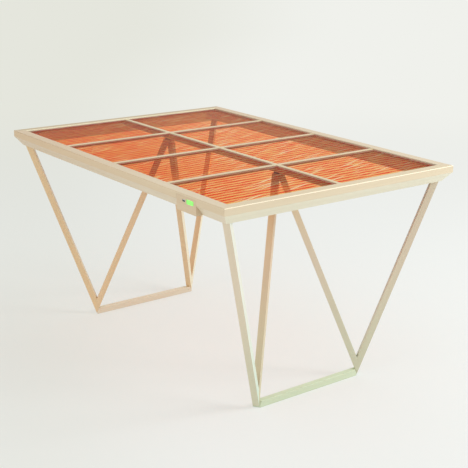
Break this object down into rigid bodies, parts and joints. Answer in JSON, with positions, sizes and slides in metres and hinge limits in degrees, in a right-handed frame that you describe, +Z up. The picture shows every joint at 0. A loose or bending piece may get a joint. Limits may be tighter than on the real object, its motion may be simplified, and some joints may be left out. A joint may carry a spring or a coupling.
{
  "type": "solar charging table",
  "caption": "Rectangular timber table with orange solar glass panes in its top, trestles of slender V-shaped legs, and a USB charging block with a green light in one long rail.",
  "frame": {"origin": "centre of the footprint on the floor, under the middle of the table top", "axes": "+X along the long side towards the end nearest the charging block, +Y along the short side away from the rail with the charging block, +Z up"},
  "size_m": [1.332, 0.947, 0.745],
  "materials": {
    "long_rail_wood": "pale oiled ash, matte",
    "end_rail_wood": "pale oiled ash, matte",
    "bar_wood": "pale oiled ash, matte",
    "block_wood": "dark stained timber, matte",
    "dowel_wood": "beech, matte",
    "left_trestle_wood": "ash with a warm tan tint, matte",
    "right_trestle_wood": "ash with a tint that fades from beige to pale green, matte",
    "clear_glass": "clear float glass, glossy",
    "solar_cell": "orange dye cells with fine stripes, glossy",
    "seal_rubber": "black glazing seal",
    "black_steel": "black powder coat",
    "steel": "zinc plated",
    "board_green": "green solder mask",
    "socket_metal": "nickel plated",
    "light_green": "frosted green light window",
    "lamp_white": "small surface lamps",
    "battery_sleeve": "shrink sleeve, unprinted",
    "ribbon_copper": "copper coloured insulated ribbon"
  },
  "bodies": {
    "root": {"front_long_rail": "long_rail_wood", "back_long_rail": "long_rail_wood", "left_end_rail": "end_rail_wood", "right_end_rail": "end_rail_wood", "centre_beam": "bar_wood", "cross_bar_left": "bar_wood", "cross_bar_middle": "bar_wood", "cross_bar_right": "bar_wood", "corner_block_front_left": "block_wood", "corner_block_front_right": "block_wood", "corner_block_back_left": "block_wood", "corner_block_back_right": "block_wood", "glass_front_1": "clear_glass", "glass_front_2": "clear_glass", "glass_front_3": "clear_glass", "glass_front_4": "clear_glass", "glass_back_1": "clear_glass", "glass_back_2": "clear_glass", "glass_back_3": "clear_glass", "glass_back_4": "clear_glass", "cell_panel_front_1": "solar_cell", "cell_panel_front_2": "solar_cell", "cell_panel_front_3": "solar_cell", "cell_panel_front_4": "solar_cell", "cell_panel_back_1": "solar_cell", "cell_panel_back_2": "solar_cell", "cell_panel_back_3": "solar_cell", "cell_panel_back_4": "solar_cell", "glazing_seals": "seal_rubber", "left_outer_leg_front": "left_trestle_wood", "left_outer_leg_back": "left_trestle_wood", "left_inner_leg_front": "left_trestle_wood", "left_inner_leg_back": "left_trestle_wood", "left_foot_bar": "left_trestle_wood", "left_apex_spacer": "black_steel", "right_outer_leg_front": "right_trestle_wood", "right_outer_leg_back": "right_trestle_wood", "right_inner_leg_front": "right_trestle_wood", "right_inner_leg_back": "right_trestle_wood", "right_foot_bar": "right_trestle_wood", "right_apex_spacer": "black_steel", "mitre_tongues": "dowel_wood", "corner_block_screws": "steel", "leg_screws": "steel", "beam_dowels": "dowel_wood", "foot_dowels": "dowel_wood", "knee_dowels": "dowel_wood", "apex_studs": "steel", "charger_block": "long_rail_wood", "charger_cover": "block_wood", "cover_screws": "steel", "circuit_board": "board_green", "board_screws": "steel", "usb_socket": "socket_metal", "indicator_light": "light_green", "status_lamps": "lamp_white", "battery_cell": "battery_sleeve", "battery_tabs": "socket_metal", "solar_ribbon": "ribbon_copper"}
  },
  "joints": []
}
